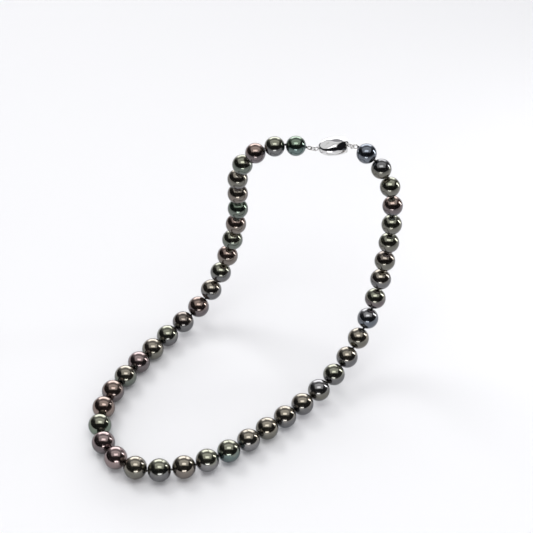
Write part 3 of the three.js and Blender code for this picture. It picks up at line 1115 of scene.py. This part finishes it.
@dataclass
class Links:
    """The jump rings and the coiled wire loops that guard the silk."""

    strand: Strand                   # whose ends the guards hold
    polished: bpy.types.Material
    ring: float = 2.0 * MM
    wire: float = 0.5 * MM
    cut: float = 0.05 * MM           # the hair-wide gap where a ring is closed
    ring_steps: int = 56
    guard_width: float = 1.5 * MM
    guard_wire: float = 0.56 * MM
    strand_wire: float = 0.11 * MM   # the fine wire that the guard is coiled from
    pitch: float = 0.155 * MM
    guard_lengths: tuple[tuple[str, float], ...] = (("left_gimp", 2.0 * MM),
                                                    ("right_gimp", 4.3 * MM))
    rings: tuple[str, ...] = ("left_jump_ring", "right_jump_ring_1", "right_jump_ring_2")
    winding_steps: int = 12          # points along one winding of a guard
    coiled: bpy.types.Material = field(init=False)

    def dress(self) -> None:
        """Makes the finish of the coiled wire."""
        self.coiled = Silver(shade=(0.80, 0.79, 0.77), gloss=0.16, wear=0.5).material("coiled_silver")

    def build_rings(self) -> None:
        """Builds the jump rings, each with its closed cut."""
        gap = self.cut / self.ring
        step = (math.tau - 2 * gap) / self.ring_steps
        angles = [gap + step * place for place in range(self.ring_steps + 1)]
        path = circle(Vector(), self.ring / 2, X, UP, angles)
        for node in self.rings:
            name = node.replace("jump_ring", "wire_ring")
            ring = Shape().tube(path, self.wire / 2, 16)
            made = ring.piece(name, self.polished, principal_frame(node), bevel=0.02 * MM)
            fit(made, body_of(node), "silver", node)

    def loop_point(self, length: float, share: float) -> tuple[Vector, Vector]:
        """A point on the middle line of a long loop.

        Args:
            length: The loop's mean length.
            share: How far round it is, from 0 to 1.

        Returns:
            The point and the way outward from the loop there.
        """
        radius = self.guard_width / 2
        straight = length - self.guard_width
        arc = math.pi * radius
        at = (share % 1) * 2 * (straight + arc)
        side = 1
        if at >= straight + arc:
            at, side = at - straight - arc, -1
        if at < arc:
            turn = -math.pi / 2 + at / radius
            out = Vector((math.cos(turn), 0, math.sin(turn)))
            point = out * radius + Vector((straight / 2, 0, 0))
        else:
            out = Vector((0, 0, 1))
            point = Vector((straight / 2 - (at - arc), 0, radius))
        return point * side, out * side

    def coil_path(self, length: float) -> list[Vector]:
        """Winds the fine wire of a guard round the middle line of its loop.

        Args:
            length: The loop's mean length.

        Returns:
            The points along the wire.
        """
        around = 2 * (length - self.guard_width) + math.pi * self.guard_width
        count = round(around / self.pitch) * self.winding_steps
        path = []
        for step in range(count):
            middle, out = self.loop_point(length, step / count)
            turn = math.tau * step / self.winding_steps
            aside = Vector((0, self.guard_reach * math.sin(turn), 0))
            path.append(middle + out * (self.guard_reach * math.cos(turn)) + aside)
        return path

    @property
    def guard_reach(self) -> float:
        """From the middle of a guard to the middle of its fine wire."""
        return self.guard_wire / 2 - self.strand_wire / 2

    def build_guards(self) -> None:
        """Builds the coiled guards and the silk loops inside them."""
        for node, length in self.guard_lengths:
            place, body = principal_frame(node), body_of(node)
            guard = Shape().tube(self.coil_path(length), self.strand_wire / 2, 10, closed=True)
            made = guard.piece(node.replace("gimp", "coiled_guard"), self.coiled, place)
            fit(made, body, "silver_coil", node)
            core = [self.loop_point(length, step / 60)[0] for step in range(60)]
            thread = Shape().tube(core, self.guard_reach * 0.82, 10, closed=True)
            name = node.replace("gimp", "guarded_silk")
            fit(thread.piece(name, self.strand.silk, place), body, "silk")

    def build_tails(self) -> None:
        """Builds the two threads that leave each guard and enter the first pearl."""
        strand = self.strand
        ends = ((strand.pearls[0], -1, *self.guard_lengths[0]),
                (strand.pearls[-1], 1, *self.guard_lengths[1]))
        for pearl, way, node, length in ends:
            loop = principal_frame(node)
            ahead = loop.col[0].xyz
            mouth = strand.end_of(pearl, way)
            ahead = ahead if (mouth - loop.translation).dot(ahead) > 0 else -ahead
            bend = loop.translation + ahead * (length / 2 - 0.1 * MM)
            shape = Shape()
            strand.add_plies(shape, bend, mouth - pearl.axis * (way * 0.3 * MM))
            strand.add_knot(shape, mouth, pearl.axis, 0.5)
            name = node.replace("gimp", "silk_tail")
            fit(shape.piece(name, strand.silk), body_of(node), "silk")


# ---- The studio -----------------------------------------------------------------------


@dataclass(frozen=True)
class Panel:
    """A soft light panel."""

    name: str
    at: tuple[float, float, float]
    towards: tuple[float, float, float]
    size: tuple[float, float]
    radiance: float
    mirrored: bool = True

    def build(self) -> None:
        """Hangs the panel."""
        lamp = bpy.data.lights.new(self.name, "AREA")
        lamp.shape, (lamp.size, lamp.size_y) = "RECTANGLE", self.size
        lamp.energy = self.radiance * math.pi * self.size[0] * self.size[1]
        hung = bpy.data.objects.new(self.name, lamp)
        bpy.context.scene.collection.objects.link(hung)
        facing = (Vector(self.towards) - Vector(self.at)).to_track_quat("-Z", "Y")
        hung.matrix_world = Matrix.Translation(self.at) @ facing.to_matrix().to_4x4()
        hung.visible_camera = False
        hung.visible_glossy = self.mirrored


@dataclass
class Studio:
    """The camera, the pale floor, the room's light and its soft panels."""

    camera_at: tuple[float, float, float] = (-27.8 * MM, -560.4 * MM, 449.8 * MM)
    camera_dip: float = 42.61        # degrees below the level
    lens: float = 114.2
    sensor: float = 36.0
    floor_radius: float = 6.0
    floor_gap: float = 0.08 * MM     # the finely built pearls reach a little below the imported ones
    pale: Colour = (0.90, 0.90, 0.915)       # what the eye sees beyond the floor
    fill: Colour = (0.43, 0.43, 0.44)        # what lights matt surfaces from all sides
    backdrop: Colour = (3.7, 3.7, 3.75)      # what shiny surfaces reflect low behind,
    dusk: Colour = (0.34, 0.34, 0.36)        # higher up behind,
    dark: Colour = (0.010, 0.010, 0.012)     # and in front
    panels: tuple[Panel, ...] = (
        Panel("overhead", (-0.02, -0.065, 0.50), (-0.02, -0.06, 0.0), (1.05, 0.62), 0.68),
        Panel("overhead_core", (-0.02, -0.20, 0.48), (-0.02, -0.18, 0.0), (0.38, 0.20), 2.2),
        Panel("side_strip", (0.27, 0.07, 0.02), (0.0, 0.0, -0.03), (0.045, 0.16), 9.0),
        Panel("front_card", (-0.03, -0.37, -0.040), (-0.03, 0.0, -0.06), (0.18, 0.045), 7.0),
        Panel("key", (-0.42, 0.40, 0.62), (-0.03, -0.05, -0.09), (0.34, 0.34), 6.0, False),
    )

    def build_camera(self) -> None:
        """Stands the camera in front of the strand, looking down on it."""
        lens = bpy.data.cameras.new("camera")
        lens.lens, lens.sensor_width = self.lens, self.sensor
        lens.clip_start, lens.clip_end = 0.01, 50
        stand = bpy.data.objects.new("camera", lens)
        bpy.context.scene.collection.objects.link(stand)
        stand.location = self.camera_at
        stand.rotation_euler = (math.radians(90 - self.camera_dip), 0, 0)
        bpy.context.scene.camera = stand

    def build_floor(self) -> None:
        """Lays a round pale floor under the lowest pearl."""
        level = CAD_BOX[0].z - self.floor_gap
        rim = circle(Vector((0, 0, level)), self.floor_radius, X, Y, turns(96))
        floor = Shape().prism(rim, Vector((0, 0, -0.01)))
        floor.piece("floor", Table().material("pale_lacquer"))

    def build_room(self) -> None:
        """Fills the room: a bright backdrop behind, dark in front, and pale to the eye."""
        world = bpy.data.worlds.new("room")
        bpy.context.scene.world = world
        world.use_nodes = True
        graph = Graph(world.node_tree)
        way = graph.node("ShaderNodeSeparateXYZ", {},
                         {0: graph.node("ShaderNodeTexCoord").output("Generated")})
        height, back = way.output("Z"), way.output("Y")
        aside = way.output("X").math("ABSOLUTE")
        low = 1 - height.between(0.46, 0.56)
        central = 1 - aside.between(0.38, 0.55)
        wide = 1 - aside.between(0.5, 0.85)
        seen = graph.blend(self.dark, self.dusk, back.between(0.0, 0.45) * wide)
        seen = graph.blend(seen, self.backdrop, back.between(0.5, 0.75) * low * central)
        sight = graph.node("ShaderNodeLightPath")
        seen = graph.blend(seen, self.fill, sight.output("Is Diffuse Ray"))
        seen = graph.blend(seen, self.pale, sight.output("Is Camera Ray"))
        light = graph.node("ShaderNodeBackground", {}, {"Color": seen, "Strength": 1.0})
        graph.node("ShaderNodeOutputWorld", {}, {"Surface": light})

    def light(self) -> None:
        """Hangs every panel and shows colours plainly."""
        for panel in self.panels:
            panel.build()
        bpy.context.scene.view_settings.view_transform = "Standard"


def main() -> None:
    """Builds the studio and the necklace in order."""
    studio = Studio()
    studio.build_camera()
    studio.build_floor()
    studio.build_room()
    studio.light()
    log.info("studio ready")

    strand = Strand()
    strand.dress()
    strand.find()
    strand.build_pearls()
    strand.build_silk()

    clasp = Clasp()
    clasp.dress()
    clasp.build_body()
    clasp.build_tail()
    clasp.build_plate()
    clasp.build_leaf()

    links = Links(strand, clasp.polished)
    links.dress()
    links.build_rings()
    links.build_guards()
    links.build_tails()


if __name__ == "__main__":
    main()
